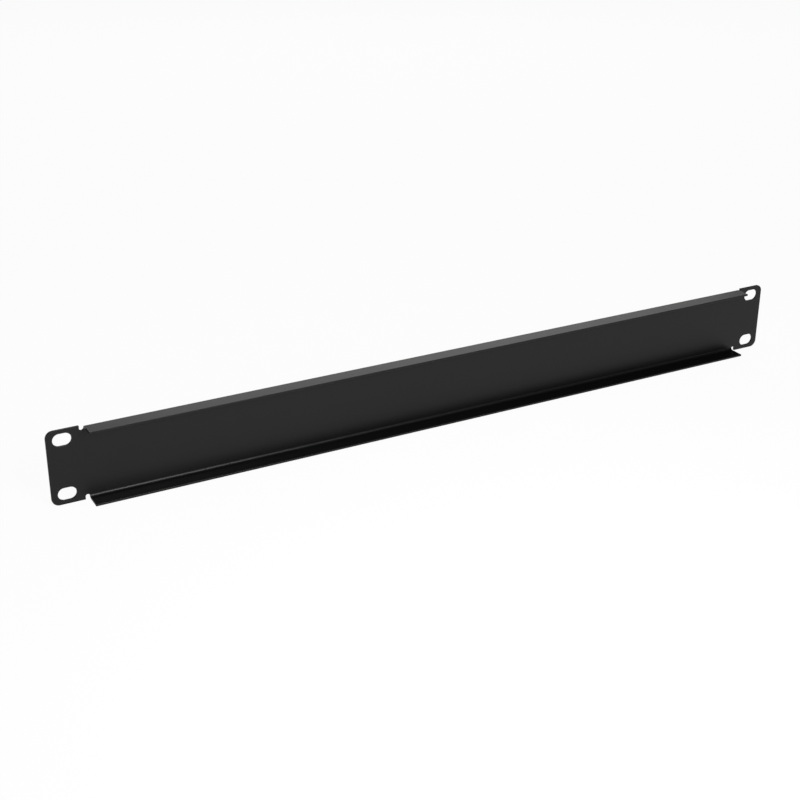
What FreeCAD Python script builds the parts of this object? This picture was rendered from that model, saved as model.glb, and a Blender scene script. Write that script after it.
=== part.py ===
"""A 1U blanking panel for a 19-inch rack, folded from one steel sheet.

+X runs along the panel's width and +Z is up. The front face looks along -Y and the flanges reach back
along +Y. The origin is the centre of the four slots, on the rear face of the ears, where the panel
seats on the rack's rails.
"""

import FreeCAD, Part

import math
import os

# Driving dimensions, in millimetres.
panel_width = 482.6  # end to end of the ears, the 19-inch standard
rack_unit = 44.45  # the height of the rack space that the panel covers
height_clearance = 0.75  # how much lower than the rack unit the panel is
panel_depth = 11.5  # front face to the flange tips
sheet_thickness = 1.2
bend_inside_radius = 1.6
edge_radius = 0.2  # every outer edge of the sheet, rounded by deburring and the coat

ear_width = 18.3  # from the relief notch to the panel's end
corner_radius = 4.3  # outer corners of the ears
relief_width = 2.4  # the notch between each flange end and its ear
relief_past_bend = 0.1  # how far the notch goes past the bend, into the flat web

slot_length = 10.3
slot_width = 7.2
slot_to_end = 8.75  # from a slot's centre to the panel's end
slot_to_unit_edge = 6.35  # from a slot's centre to the nearer edge of the rack unit
slot_chamfer = 0.2  # both rims of each slot

# Worked out from the dimensions above.
panel_height = rack_unit - height_clearance
half_width = panel_width / 2
half_height = panel_height / 2
front_face = -sheet_thickness
flange_tip = front_face + panel_depth
bend_outside_radius = bend_inside_radius + sheet_thickness
relief_x = half_width - ear_width - relief_width / 2
relief_depth = bend_outside_radius + relief_past_bend
slot_x = half_width - slot_to_end
slot_z = rack_unit / 2 - slot_to_unit_edge


def fold_line(inset):
    """The open U of web and flanges in the YZ plane, lying `inset` inside the panel's outer surface."""
    front = front_face + inset
    top = half_height - inset
    radius = bend_outside_radius - inset
    mid = radius * (1 - math.sqrt(0.5))
    edges = [Part.makeLine((0, front, radius - top), (0, front, top - radius))]
    for up in (-1, 1):
        bend = Part.Arc(
            FreeCAD.Vector(0, front, up * (top - radius)),
            FreeCAD.Vector(0, front + mid, up * (top - mid)),
            FreeCAD.Vector(0, front + radius, up * top),
        )
        flange = Part.makeLine((0, front + radius, up * top), (0, flange_tip, up * top))
        edges += [bend.toShape(), flange]
    return edges


def folded_channel():
    """The web and both flanges, carried along X to the middle of the relief notches."""
    tips = []
    for up in (-1, 1):
        outer = (0, flange_tip, up * half_height)
        inner = (0, flange_tip, up * (half_height - sheet_thickness))
        tips.append(Part.makeLine(outer, inner))
    outline = Part.__sortEdges__(fold_line(0) + fold_line(sheet_thickness) + tips)
    section = Part.Face(Part.Wire(outline))
    section.translate(FreeCAD.Vector(-relief_x, 0, 0))
    return section.extrude(FreeCAD.Vector(2 * relief_x, 0, 0))


def ears():
    """The flat sheet beyond the notches at both ends, with its outer corners rounded."""
    corner = FreeCAD.Vector(-half_width, front_face, -half_height)
    sheet = Part.makeBox(panel_width, sheet_thickness, panel_height, corner)
    through_edges = [edge for edge in sheet.Edges if abs(edge.tangentAt(edge.FirstParameter).y) > 0.99]
    sheet = sheet.makeFillet(corner_radius, through_edges)
    corner.x = -relief_x
    return sheet.cut(Part.makeBox(2 * relief_x, sheet_thickness, panel_height, corner))


def obround(length, width, x, z):
    """A level cutter with full-round ends, which runs along Y through the whole panel."""
    radius = width / 2
    reach = length / 2 - radius
    start = front_face - sheet_thickness
    outline = []
    for side in (-1, 1):
        end = Part.Arc(
            FreeCAD.Vector(side * reach, start, -side * radius),
            FreeCAD.Vector(side * (reach + radius), start, 0),
            FreeCAD.Vector(side * reach, start, side * radius),
        )
        straight = Part.makeLine((-reach, start, side * radius), (reach, start, side * radius))
        outline += [end.toShape(), straight]
    face = Part.Face(Part.Wire(Part.__sortEdges__(outline)))
    cutter = face.extrude(FreeCAD.Vector(0, panel_depth + 2 * sheet_thickness, 0))
    cutter.translate(FreeCAD.Vector(x, 0, z))
    return cutter


def mounting_slots():
    """The four level slots for the rack screws, two in each ear."""
    return [
        obround(slot_length, slot_width, side * slot_x, up * slot_z) for side in (-1, 1) for up in (-1, 1)
    ]


def relief_notches():
    """The four upright notches that free the flange ends from the ears, round at the bottom."""
    length = relief_depth + relief_width
    centre = half_height - relief_depth + length / 2
    notches = []
    for side in (-1, 1):
        for up in (-1, 1):
            notch = obround(length, relief_width, 0, 0)
            notch.rotate(FreeCAD.Vector(), FreeCAD.Vector(0, 1, 0), 90)
            notch.translate(FreeCAD.Vector(side * relief_x, 0, up * centre))
            notches.append(notch)
    return notches


def sharp_edges(solid):
    """The edges where two faces meet at a real angle, and not the bend lines or the edges of a rounding."""
    edges = []
    for edge in solid.Edges:
        middle = edge.valueAt((edge.FirstParameter + edge.LastParameter) / 2)
        normals = []
        for face in solid.ancestorsOfType(edge, Part.Face):
            u, v = face.Surface.parameter(middle)
            normals.append(face.normalAt(u, v))
        if normals[0].getAngle(normals[-1]) > math.radians(10):
            edges.append(edge)
    return edges


def panel():
    """The folded sheet with its notches and rounded edges, and its slots with broken rims."""
    sheet = folded_channel().fuse(ears()).removeSplitter()
    sheet = sheet.cut(relief_notches()).removeSplitter().Solids[0]
    sheet = sheet.makeFillet(edge_radius, sharp_edges(sheet))
    sheet = sheet.cut(mounting_slots()).Solids[0]
    return sheet.makeChamfer(slot_chamfer, sharp_edges(sheet))


os.makedirs("parts", exist_ok=True)
panel().exportStep("parts/panel.step")
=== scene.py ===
"""The looks of a 1U rack blanking panel: its folded, powder-coated sheet, and a plain studio.

+X runs along the panel's width and +Z is up. The front face looks along -Y and the flanges reach
back along +Y. The origin is the centre of the four slots, on the rear face of the ears. Lengths are
in metres.
"""

import math

import bpy
import numpy as np
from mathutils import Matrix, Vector
from mathutils.geometry import delaunay_2d_cdt


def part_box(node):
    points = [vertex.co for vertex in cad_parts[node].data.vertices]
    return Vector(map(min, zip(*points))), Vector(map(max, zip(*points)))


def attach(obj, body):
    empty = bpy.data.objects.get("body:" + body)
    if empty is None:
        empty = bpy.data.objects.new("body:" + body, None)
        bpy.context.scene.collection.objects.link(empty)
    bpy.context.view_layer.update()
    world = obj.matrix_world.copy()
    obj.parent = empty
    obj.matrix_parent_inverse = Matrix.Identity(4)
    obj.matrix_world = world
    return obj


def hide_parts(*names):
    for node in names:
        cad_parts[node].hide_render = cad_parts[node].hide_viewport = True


bl_info = {
    "name": "Rack blanking panel",
    "version": (1, 0, 0),
    "blender": (4, 5, 0),
    "location": "3D View > Sidebar > Blanking panel",
    "description": "Folds the sheet of a rack blanking panel and sets it in a plain studio",
    "category": "Add Mesh",
}

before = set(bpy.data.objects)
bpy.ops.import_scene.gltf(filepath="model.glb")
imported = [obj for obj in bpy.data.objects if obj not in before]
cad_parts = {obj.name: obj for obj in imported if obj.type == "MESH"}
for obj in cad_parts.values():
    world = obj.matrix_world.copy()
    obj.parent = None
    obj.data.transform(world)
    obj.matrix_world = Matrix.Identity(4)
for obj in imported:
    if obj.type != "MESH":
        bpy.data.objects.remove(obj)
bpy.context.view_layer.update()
LOWEST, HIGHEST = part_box("panel")


def length(label, about, default, least=0.0):
    """A size in metres that is shown in the scene's own unit."""
    return bpy.props.FloatProperty(
        name=label, description=about, default=default, min=least,
        subtype="DISTANCE", unit="LENGTH", precision=5,
    )


def share(label, about, default, most=1.0):
    """A plain number from 0 up to `most`."""
    return bpy.props.FloatProperty(
        name=label, description=about, default=default, min=0.0, max=most, precision=4
    )


def tint(label, about, default):
    """A linear colour."""
    return bpy.props.FloatVectorProperty(
        name=label, description=about, default=default, size=3, min=0.0, max=1.0, subtype="COLOR"
    )


class SheetSizes(bpy.types.PropertyGroup):
    """The sizes of the folded sheet."""

    width: length("Width", "End to end of the ears", HIGHEST.x - LOWEST.x)
    height: length("Height", "Across both flanges", HIGHEST.z - LOWEST.z)
    depth: length("Depth", "Front face to the flange tips", HIGHEST.y - LOWEST.y)
    front: bpy.props.FloatProperty(
        name="Front face", description="Where the front face lies along Y",
        default=LOWEST.y, unit="LENGTH",
    )
    thickness: length("Sheet", "Thickness of the sheet", 0.0012, 0.0001)
    bend_radius: length("Bend radius", "Inside radius of both bends", 0.0016)
    edge_radius: length("Edge radius", "Rounding of every edge of the sheet", 0.0002, 0.00001)
    tip_radius: length("Tip radius", "Rounding of the square corners, seen flat", 0.00025, 0.00002)
    ear_width: length("Ear width", "From the relief notch to the panel's end", 0.0183)
    corner_radius: length("Ear corner", "Radius of the ears' outer corners", 0.0043)
    notch_width: length("Notch width", "Between a flange's end and its ear", 0.0024)
    notch_depth: length("Notch depth", "From the ear's edge to the notch's round bottom", 0.0029)
    slot_length: length("Slot length", "Overall length of a mounting slot", 0.0103)
    slot_width: length("Slot width", "Width of a mounting slot", 0.0072)
    slot_to_end: length("Slot to end", "From a slot's centre to the panel's end", 0.00875)
    slot_rise: length("Slot rise", "From the panel's middle line to a slot's centre", 0.015875)
    bend_steps: bpy.props.IntProperty(
        name="Bend steps", description="Facets round each bend", default=18, min=4
    )
    edge_steps: bpy.props.IntProperty(
        name="Edge steps", description="Facets round each rounding of an edge", default=4, min=1
    )


class CoatLook(bpy.types.PropertyGroup):
    """The satin black powder coat."""

    colour: tint("Colour", "Colour of the coat", (0.0026, 0.0026, 0.0027))
    pale: tint("Pale colour", "Colour where the coat is thinnest", (0.0034, 0.0034, 0.0035))
    cloud_size: length("Cloud size", "Size of the patches of colour and gloss", 0.06, 0.001)
    roughness: share("Roughness", "Mean roughness of the coat", 0.39)
    roughness_spread: share("Roughness spread", "How much the roughness varies", 0.04)
    ior: bpy.props.FloatProperty(
        name="IOR", description="Refractive index of the coat", default=1.34, min=1.0
    )
    grain_size: length("Grain size", "Size of the coat's fine texture", 0.00045, 0.00001)
    grain_depth: length("Grain depth", "Depth of the coat's fine texture", 0.0000035)
    ripple_size: length("Ripple size", "Size of the coat's soft ripple", 0.0035, 0.0001)
    ripple_depth: length("Ripple depth", "Depth of the coat's soft ripple", 0.000004)


class StudioSizes(bpy.types.PropertyGroup):
    """The floor, its raised rim, the light and the camera."""

    floor: tint("Floor", "Colour of the floor", (0.86, 0.86, 0.86))
    floor_reach: length("Floor reach", "From the floor's middle to where its rim turns up", 10.0)
    rim_radius: length("Rim radius", "Radius of the rim's quarter turn, and so its height", 1.2)
    backdrop_share: share("Backdrop share", "Share of the floor that shows as plain white", 0.95)
    sky: share("Sky", "Strength of the light from all round", 0.12, 4.0)
    lamp_level: share("Lamp level", "Scales every lamp", 1.0, 10.0)
    camera_place: bpy.props.FloatVectorProperty(
        name="Camera", description="Where the camera stands",
        default=(0.39685, 0.67267, 0.34391), unit="LENGTH",
    )
    camera_turn: bpy.props.FloatVectorProperty(
        name="Camera turn", description="How the camera is turned",
        default=tuple(math.radians(angle) for angle in (65.5466, -0.1726, 151.5939)),
        subtype="EULER", unit="ROTATION",
    )
    focal_length: bpy.props.FloatProperty(
        name="Focal length", description="On a sensor 36 mm wide",
        default=64.254, min=1.0, unit="CAMERA",
    )


# The folded sheet. It is laid out flat, with x along the panel and s up it, and is then folded.


def arc(centre, radius, start, stop, count, hollow=False):
    """Points on a circle and the way out of the sheet there.

    p = centre + radius (cos a, sin a), with a from start to stop in degrees. The way out is
    (cos a, sin a), or its opposite round a hollow."""
    angle = np.radians(np.linspace(start, stop, count))
    ray = np.column_stack([np.cos(angle), np.sin(angle)])
    return np.array(centre) + radius * ray, -ray if hollow else ray


def straight(fixed, along, values, outward):
    """Points on a line of the flat sheet, and the way out of the sheet there.

    Coordinate number `along` takes the values and the other one stays fixed."""
    points = np.full((len(values), 2), float(fixed))
    points[:, along] = values
    return points, np.tile(outward, (len(values), 1)).astype(float)


def closed_band(around, across, first=0):
    """Quads of a band that goes once round and closes on itself.

    Its point j across at step i round has the number first + i across + j. Each quad joins points j
    and j + 1 of one step to those of the next, and of the last step to those of the first."""
    i, j = np.meshgrid(np.arange(around), np.arange(across - 1), indexing="ij")
    here, there = first + i * across + j, first + (i + 1) % around * across + j
    return np.stack([here, here + 1, there + 1, there], axis=-1).reshape(-1, 4)


class FlatSheet:
    """The places on the flat sheet that its outline, its bends and its slots share."""

    # How many points each stretch of the outline and of a slot has, both ends counted.
    EAR_END, EAR_CORNER, EAR_TOP, SMALL_CORNER = 12, 17, 10, 5
    NOTCH_SIDE, NOTCH_BOTTOM, SLOT_END = 5, 25, 33
    # How many rows the lattice has on half the web and on a flange, and how many columns on half
    # its length.
    WEB_ROWS, FLANGE_ROWS, COLUMNS = 6, 6, 37

    def __init__(self, sizes):
        self.sizes = sizes
        self.end, self.top = sizes.width / 2, sizes.height / 2
        self.outer_radius = sizes.bend_radius + sizes.thickness
        self.bend_start = self.top - self.outer_radius
        self.bend_length = self.outer_radius * math.pi / 2
        self.bend_end = self.bend_start + self.bend_length
        self.tip = self.bend_end + sizes.depth - self.outer_radius
        self.notch_x = self.end - sizes.ear_width - sizes.notch_width / 2
        self.notch_centre = self.top - sizes.notch_depth + sizes.notch_width / 2
        bend = np.linspace(self.bend_start, self.bend_end, sizes.bend_steps + 1)
        flange = np.linspace(self.bend_end, self.tip, self.FLANGE_ROWS)[1:-1]
        self.rows = np.concatenate([bend, flange])
        self.columns = np.linspace(0, self.notch_x - sizes.notch_width, self.COLUMNS)

    def outline(self):
        """The outline of the sheet, once round against the clock, and the way out at each point.

        A quarter runs from the middle of the right end, round the ear's corner, down and up the
        relief notch, up the flange's end and along its tip to x = 0. It is mirrored in x, and both
        are mirrored in s."""
        s = self.sizes
        r, corner, half = s.tip_radius, s.corner_radius, s.notch_width / 2
        ear_side, flange_end = self.notch_x + half, self.notch_x - half
        rise = np.linspace(0, self.top - corner, self.EAR_END)
        back = np.linspace(self.end - corner, ear_side + r, self.EAR_TOP)
        drop = np.linspace(self.top - r, self.notch_centre, self.NOTCH_SIDE)
        # A row just above the notch's round bottom would crowd the last point there.
        climb = self.rows[self.rows > self.notch_centre + r / 4]
        parts = [
            straight(self.end, 1, rise[:-1], (1, 0)),
            arc((self.end - corner, self.top - corner), corner, 0, 90, self.EAR_CORNER),
            straight(self.top, 0, back[1:-1], (0, 1)),
            arc((ear_side + r, self.top - r), r, 90, 180, self.SMALL_CORNER),
            straight(ear_side, 1, drop[1:-1], (-1, 0)),
            arc((self.notch_x, self.notch_centre), half, 0, -180, self.NOTCH_BOTTOM, hollow=True),
            straight(flange_end, 1, climb, (1, 0)),
            arc((flange_end - r, self.tip - r), r, 0, 90, self.SMALL_CORNER),
            straight(self.tip, 0, self.columns[::-1], (0, 1)),
        ]
        points, outward = (np.concatenate(which) for which in zip(*parts))
        for axis, kept in ((0, slice(1, None)), (1, slice(1, -1))):
            flip = np.ones(2)
            flip[axis] = -1
            points = np.concatenate([points, (points * flip)[::-1][kept]])
            outward = np.concatenate([outward, (outward * flip)[::-1][kept]])
        return points, outward

    def slot(self, side, up):
        """One level slot, once round with the clock: half circles about two centres."""
        s = self.sizes
        radius = s.slot_width / 2
        reach = s.slot_length / 2 - radius
        x, rise = side * (self.end - s.slot_to_end), up * s.slot_rise
        left = arc((x - reach, rise), radius, 270, 90, self.SLOT_END, hollow=True)
        right = arc((x + reach, rise), radius, 90, -90, self.SLOT_END, hollow=True)
        return tuple(np.concatenate(pair) for pair in zip(left, right))

    def inner_points(self):
        """A lattice between the flange ends, with its rows on the facets of both bends."""
        web = np.linspace(0, self.bend_start, self.WEB_ROWS)[:-1]
        rows = np.concatenate([web, self.rows])
        x = np.concatenate([-self.columns[:0:-1], self.columns])
        s = np.concatenate([-rows[:0:-1], rows])
        return np.stack(np.meshgrid(x, s), axis=-1).reshape(-1, 2)

    def fold(self, flat, deep, facing):
        """Folds points of the flat sheet and the directions there.

        A point at height s of the flat sheet, `deep` into it from the front, goes to
          y = front + R - (R - deep) cos a + past,  z = level + (R - deep) sin a,
        with R the bend's outer radius, a the angle turned so far, level the part of |s| before the
        bend and past the part beyond it. Below the middle line z changes sign. Beyond the notches
        a stays 0."""
        x, s = flat.T
        up = np.where(s < 0, -1.0, 1.0)
        far = np.abs(s)
        folded = np.abs(x) < self.notch_x
        bent = np.where(folded, np.clip(far - self.bend_start, 0, self.bend_length), 0)
        past = np.where(folded, np.clip(far - self.bend_end, 0, None), 0)
        angle = bent / self.outer_radius
        sine, cosine = np.sin(angle), np.cos(angle)
        reach = self.outer_radius - deep
        y = self.sizes.front + self.outer_radius - reach * cosine + past
        z = up * (far - bent - past + reach * sine)
        across, along, through = facing.T
        back = along * up * sine + through * cosine
        rise = along * cosine - through * up * sine
        return np.column_stack([x, y, z]), np.column_stack([across, back, rise])


def inside(points, loops):
    """Which points lie in the sheet: those whose level ray to the right crosses the loops an odd
    number of times."""
    crossings = np.zeros(len(points), int)
    x, s = points[:, :1], points[:, 1:]
    for loop in loops:
        ax, ay = loop.T
        bx, by = np.roll(loop, -1, axis=0).T
        spans = (ay > s) != (by > s)
        with np.errstate(divide="ignore", invalid="ignore"):
            meets = ax + (s - ay) * (bx - ax) / (by - ay)
        crossings += (spans & (x < meets)).sum(axis=1)
    return crossings % 2 == 1


# The flat skin is cut up in millimetres. There, points nearer than SAME_POINT count as one, and
# TRIANGLES asks for plain triangles.
MILLIMETRES, SAME_POINT, TRIANGLES = 1000, 1e-6, 0


def skin(loops, spare):
    """Triangles between the loops, which use every loop point and every spare point.

    Returns them as numbers into the loop points followed by the spare points, each against the
    clock."""
    counts = [len(loop) for loop in loops]
    starts = np.cumsum([0] + counts[:-1])
    edges = np.concatenate([
        start + np.column_stack([np.arange(n), np.roll(np.arange(n), -1)])
        for start, n in zip(starts, counts)
    ])
    points = np.concatenate(loops + [spare]) * MILLIMETRES
    placed, _, faces, origin, _, _ = delaunay_2d_cdt(
        points.tolist(), edges.tolist(), [], TRIANGLES, SAME_POINT
    )
    if len(placed) != len(points):
        raise RuntimeError("the flat sheet's outline crosses or touches itself")
    faces = np.concatenate(origin)[np.array(faces)]
    centres = points[faces].mean(axis=1)
    faces = faces[inside(centres, [loop * MILLIMETRES for loop in loops])]
    a, b, c = (points[faces[:, i]] for i in range(3))
    clockwise = (b - a)[:, 0] * (c - a)[:, 1] < (b - a)[:, 1] * (c - a)[:, 0]
    faces[clockwise] = faces[clockwise][:, ::-1]
    return faces


def edge_profile(radius, thickness, steps):
    """The profile of every edge: how far out of its loop it stands, how deep it lies, its angle.

    At angle a, from 0 at the front skin to 180 degrees at the rear one, it stands r sin a - r out
    of the loop and base - r cos a deep. The base is r up to 90 degrees and thickness - r from
    there, so 90 degrees comes twice, at both ends of the straight wall."""
    quarter = np.linspace(0, math.pi / 2, steps + 1)
    angle = np.concatenate([quarter, quarter + math.pi / 2])
    base = np.repeat([radius, thickness - radius], len(quarter))
    return radius * np.sin(angle) - radius, base - radius * np.cos(angle), angle


def folded_sheet(sizes):
    """Vertices, normals, triangles and quads of the whole sheet.

    The edge profile is carried round every loop as a rim, which faces (sin a) out of the sheet and
    (-cos a) through it. Two skins of the same triangles, front and rear, close the rims."""
    sheet = FlatSheet(sizes)
    outside, deep, angle = edge_profile(sizes.edge_radius, sizes.thickness, sizes.edge_steps)
    rings = len(angle)

    flat, depths, facing, quads, front_loops, firsts = [], [], [], [], [], []
    first = 0
    slots = [sheet.slot(side, up) for side in (-1, 1) for up in (-1, 1)]
    for points, outward in [sheet.outline()] + slots:
        n = len(points)
        rim = points[:, None] + outside[None, :, None] * outward[:, None]
        out = outward[:, None] * np.sin(angle)[None, :, None]
        through = np.tile(-np.cos(angle)[None, :, None], (n, 1, 1))
        flat.append(rim.reshape(-1, 2))
        depths.append(np.tile(deep, n))
        facing.append(np.concatenate([out, through], axis=2).reshape(-1, 3))
        quads.append(closed_band(n, rings, first))
        front_loops.append(rim[:, 0])
        firsts.append(first + np.arange(n) * rings)
        first += n * rings

    lattice = sheet.inner_points()
    lattice = lattice[inside(lattice, front_loops)]
    # A lattice point this near a rim would only make slivers.
    near = sizes.edge_radius / 2
    edge = np.concatenate(front_loops)
    apart = np.abs(lattice[:, None] - edge[None]).max(axis=2).min(axis=1)
    lattice = lattice[apart > near]
    faces = skin(front_loops, lattice)
    on_rim, spare = np.concatenate(firsts), first + np.arange(len(lattice))
    front = np.concatenate([on_rim, spare])
    rear = np.concatenate([on_rim + rings - 1, spare + len(lattice)])
    for depth, way in ((0.0, -1.0), (sizes.thickness, 1.0)):
        flat.append(lattice)
        depths.append(np.full(len(lattice), depth))
        facing.append(np.tile([0.0, 0.0, way], (len(lattice), 1)))
    vertices, normals = sheet.fold(*(np.concatenate(which) for which in (flat, depths, facing)))
    triangles = np.concatenate([front[faces], rear[faces][:, ::-1]])
    return vertices, normals, triangles, np.concatenate(quads)


# Shader nodes.


class Wire:
    """A node's output. Arithmetic on it adds Math nodes, and a | b is the larger of the two."""

    def __init__(self, nodes, socket):
        self.nodes, self.socket = nodes, socket

    def maths(self, operation, first, second):
        return self.nodes.add("Math", {"operation": operation}, {0: first, 1: second})

    def __add__(self, other):
        return self.maths("ADD", self, other)

    def __sub__(self, other):
        return self.maths("SUBTRACT", self, other)

    def __rsub__(self, other):
        return self.maths("SUBTRACT", other, self)

    def __mul__(self, other):
        return self.maths("MULTIPLY", self, other)

    def __or__(self, other):
        return self.maths("MAXIMUM", self, other)

    __radd__, __rmul__, __ror__ = __add__, __mul__, __or__


class Nodes:
    """The node tree of a material or of the world, emptied and ready for new nodes."""

    def __init__(self, owner):
        owner.use_nodes = True
        self.tree = owner.node_tree
        self.tree.nodes.clear()

    def add(self, kind, settings=None, inputs=None, output=0):
        """Adds one node: its settings first, then the value or link of each input.

        Returns one of its outputs, or the node itself where it has none."""
        node = self.tree.nodes.new("ShaderNode" + kind)
        for name, value in (settings or {}).items():
            setattr(node, name, value)
        for name, value in (inputs or {}).items():
            if isinstance(value, Wire):
                self.tree.links.new(value.socket, node.inputs[name])
            else:
                node.inputs[name].default_value = value
        return Wire(self, node.outputs[output]) if node.outputs else node

    def mix_colours(self, factor, first, second):
        """A colour between two plain ones. A Mix node takes them at sockets 6 and 7."""
        inputs = {0: factor, 6: (*first, 1.0), 7: (*second, 1.0)}
        return self.add("Mix", {"data_type": "RGBA"}, inputs, output=2)


def powder_coat(look):
    """Satin black powder coat.

    A fine grain lies over a soft ripple, both as bump, and large clouds change the colour and the
    gloss a little."""
    material = bpy.data.materials.new("satin_powder_coat")
    nodes = Nodes(material)
    place = nodes.add("TexCoord", output="Object")

    def noise(size, detail):
        inputs = {"Vector": place, "Scale": 1 / size, "Detail": detail, "Roughness": 0.5}
        return nodes.add("TexNoise", {"noise_dimensions": "3D"}, inputs)

    grain = noise(look.grain_size, detail=2.0)
    ripple = noise(look.ripple_size, detail=1.0)
    cloud = noise(look.cloud_size, detail=2.0)
    height = grain * look.grain_depth + ripple * look.ripple_depth
    coat = nodes.add("BsdfPrincipled", inputs={
        "Base Color": nodes.mix_colours(cloud, look.colour, look.pale),
        "Roughness": (cloud - 0.5) * look.roughness_spread + look.roughness,
        "IOR": look.ior,
        "Normal": nodes.add("Bump", inputs={"Strength": 1.0, "Distance": 1.0, "Height": height}),
    })
    nodes.add("OutputMaterial", inputs={"Surface": coat})
    return material


# The studio.

# How many sides the round floor has, and how many rings its rim, both its edges counted.
FLOOR_SIDES, RIM_RINGS = 96, 10

# How far the floor lies below the panel, so that the two don't share a plane.
FLOOR_GAP = 0.00002

# Each lamp: its name, how far round the panel it stands from the camera, against the clock seen
# from above, and its height above the horizon, both in degrees, its distance, width and height in
# metres, and its power in watts.
LAMPS = (
    ("near", 16.5, 28, 0.47, 0.2, 0.2, 2.1),
    ("back", 184, 24, 1.5, 1.15, 0.4, 3.7),
    ("top", 0, 88, 1.5, 1.0, 1.0, 6.0),
)

# The camera's sensor in millimetres, and the nearest and farthest that it sees in metres.
SENSOR_WIDTH = 36.0
NEAREST, FARTHEST = 0.01, 50.0

WHITE = (1.0, 1.0, 1.0, 1.0)


def dish(reach, rim, low):
    """Vertices and faces of a round floor whose rim turns up into a backdrop all round.

    A point lies at r (cos t, sin t), with r = reach + rim sin a and z = low + rim - rim cos a. The
    angle t goes once round and a goes from 0 to 90 degrees. The ring at a = 0 bounds the flat
    floor."""
    turn = np.linspace(0, 2 * math.pi, FLOOR_SIDES, endpoint=False)[:, None]
    tilt = np.linspace(0, math.pi / 2, RIM_RINGS)
    out, up = reach + rim * np.sin(tilt), low + rim - rim * np.cos(tilt)
    place = np.broadcast_arrays(out * np.cos(turn), out * np.sin(turn), up)
    vertices = np.stack(place, axis=-1).reshape(-1, 3)
    flat_floor = np.arange(FLOOR_SIDES) * RIM_RINGS
    rim_faces = closed_band(FLOOR_SIDES, RIM_RINGS)
    return vertices.tolist(), [flat_floor.tolist()] + rim_faces.tolist()


def seen_as_backdrop(nodes):
    """1 for rays from the camera or from something glossy or clear, and 0 for all the rest."""
    kinds = ("Is Camera Ray", "Is Glossy Ray", "Is Transmission Ray")
    camera, glossy, clear = (nodes.add("LightPath", output=kind) for kind in kinds)
    return camera | glossy | clear


def floor_paint(studio):
    """A pale matt floor that still takes shadows, lifted towards white where it is the backdrop."""
    material = bpy.data.materials.new("pale_floor")
    nodes = Nodes(material)
    matt = nodes.add("BsdfDiffuse", inputs={"Color": (*studio.floor, 1.0)})
    white = nodes.add("Emission", inputs={"Color": WHITE, "Strength": 1.0})
    lifted = seen_as_backdrop(nodes) * studio.backdrop_share
    mixed = nodes.add("MixShader", inputs={0: lifted, 1: matt, 2: white})
    nodes.add("OutputMaterial", inputs={"Surface": mixed})
    return material


# Operators.


class MESH_OT_blanking_panel_sheet(bpy.types.Operator):
    """Fold the panel's sheet and give it its powder coat"""

    bl_idname = "mesh.blanking_panel_sheet"
    bl_label = "Folded sheet"

    def execute(self, context):
        scene = context.scene
        vertices, normals, triangles, quads = folded_sheet(scene.panel_sheet)
        mesh = bpy.data.meshes.new("folded_sheet")
        mesh.from_pydata(vertices.tolist(), [], triangles.tolist() + quads.tolist())
        if mesh.validate():
            raise RuntimeError("the folded sheet has faces that can't stand")
        mesh.shade_smooth()
        mesh.normals_split_custom_set_from_vertices(normals.tolist())
        mesh.materials.append(powder_coat(scene.panel_coat))
        sheet = bpy.data.objects.new("folded_sheet", mesh)
        scene.collection.objects.link(sheet)
        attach(sheet, "root")
        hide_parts("panel")
        return {"FINISHED"}


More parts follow.
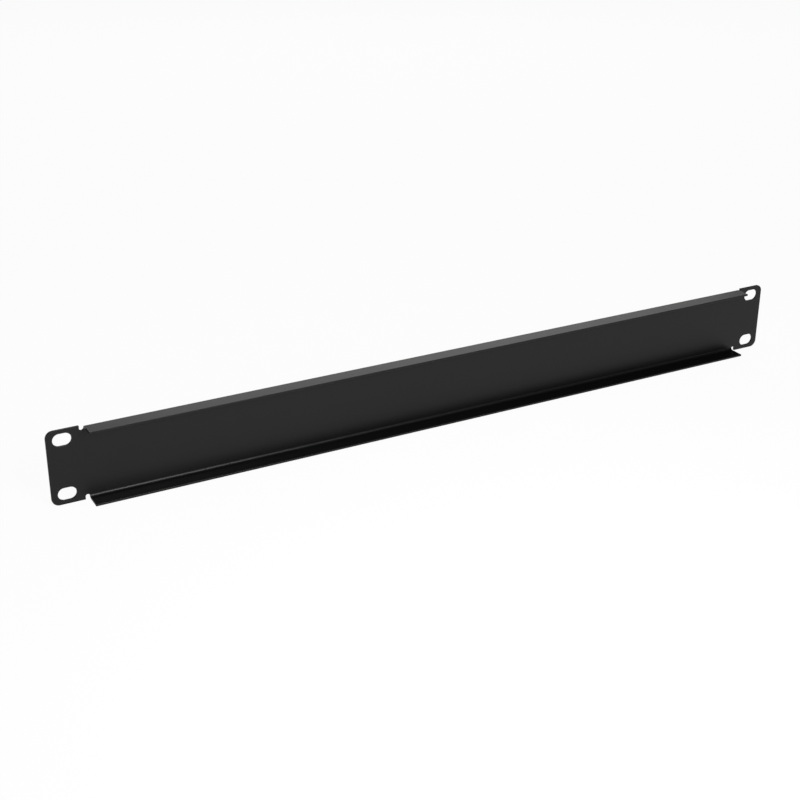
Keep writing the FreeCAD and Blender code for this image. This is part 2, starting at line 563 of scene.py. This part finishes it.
class SCENE_OT_blanking_panel_studio(bpy.types.Operator):
    """Lay the floor, hang the lamps and set up the camera"""

    bl_idname = "scene.blanking_panel_studio"
    bl_label = "Studio"

    def execute(self, context):
        scene, studio = context.scene, context.scene.panel_studio
        vertices, faces = dish(studio.floor_reach, studio.rim_radius, LOWEST.z - FLOOR_GAP)
        mesh = bpy.data.meshes.new("floor")
        mesh.from_pydata(vertices, [], faces)
        mesh.materials.append(floor_paint(studio))
        floor = bpy.data.objects.new("floor", mesh)
        scene.collection.objects.link(floor)

        camera = bpy.data.objects.new("camera", bpy.data.cameras.new("camera"))
        camera.location, camera.rotation_euler = studio.camera_place, studio.camera_turn
        camera.data.sensor_width, camera.data.lens = SENSOR_WIDTH, studio.focal_length
        camera.data.clip_start, camera.data.clip_end = NEAREST, FARTHEST
        scene.collection.objects.link(camera)
        scene.camera = camera

        scene.world = bpy.data.worlds.new("studio")
        nodes = Nodes(scene.world)
        sky = nodes.add("Background", inputs={"Color": WHITE, "Strength": studio.sky})
        nodes.add("OutputWorld", inputs={"Surface": sky})

        to_camera = math.atan2(studio.camera_place[1], studio.camera_place[0])
        for name, bearing, height, distance, across, up, power in LAMPS:
            data = bpy.data.lights.new(name, "AREA")
            data.shape, data.size, data.size_y = "RECTANGLE", across, up
            data.energy = power * studio.lamp_level
            lamp = bpy.data.objects.new(name, data)
            turn, rise = to_camera + math.radians(bearing), math.radians(height)
            level = math.cos(rise)
            away = Vector((math.cos(turn) * level, math.sin(turn) * level, math.sin(rise)))
            lamp.location = away * distance
            lamp.rotation_euler = away.to_track_quat("Z", "Y").to_euler()
            lamp.visible_camera = False
            scene.collection.objects.link(lamp)
        scene.view_settings.view_transform = "Standard"
        return {"FINISHED"}


class VIEW3D_PT_blanking_panel(bpy.types.Panel):
    """The blanking panel's operators, each over the sizes and colours that it reads"""

    bl_label = "Blanking panel"
    bl_idname = "VIEW3D_PT_blanking_panel"
    bl_space_type = "VIEW_3D"
    bl_region_type = "UI"
    bl_category = "Blanking panel"

    def draw(self, context):
        scene = context.scene
        self.draw_part(MESH_OT_blanking_panel_sheet, scene.panel_sheet, scene.panel_coat)
        self.draw_part(SCENE_OT_blanking_panel_studio, scene.panel_studio)

    def draw_part(self, operator, *groups):
        self.layout.operator(operator.bl_idname)
        for group in groups:
            column = self.layout.column()
            for name in type(group).__annotations__:
                column.prop(group, name)


GROUPS = {"panel_sheet": SheetSizes, "panel_coat": CoatLook, "panel_studio": StudioSizes}
CLASSES = (
    *GROUPS.values(),
    MESH_OT_blanking_panel_sheet,
    SCENE_OT_blanking_panel_studio,
    VIEW3D_PT_blanking_panel,
)


def register():
    for cls in CLASSES:
        bpy.utils.register_class(cls)
    for name, group in GROUPS.items():
        setattr(bpy.types.Scene, name, bpy.props.PointerProperty(type=group))


def unregister():
    for name in GROUPS:
        delattr(bpy.types.Scene, name)
    for cls in reversed(CLASSES):
        bpy.utils.unregister_class(cls)


def main():
    register()
    bpy.ops.mesh.blanking_panel_sheet()
    bpy.ops.scene.blanking_panel_studio()


if __name__ == "__main__":
    main()
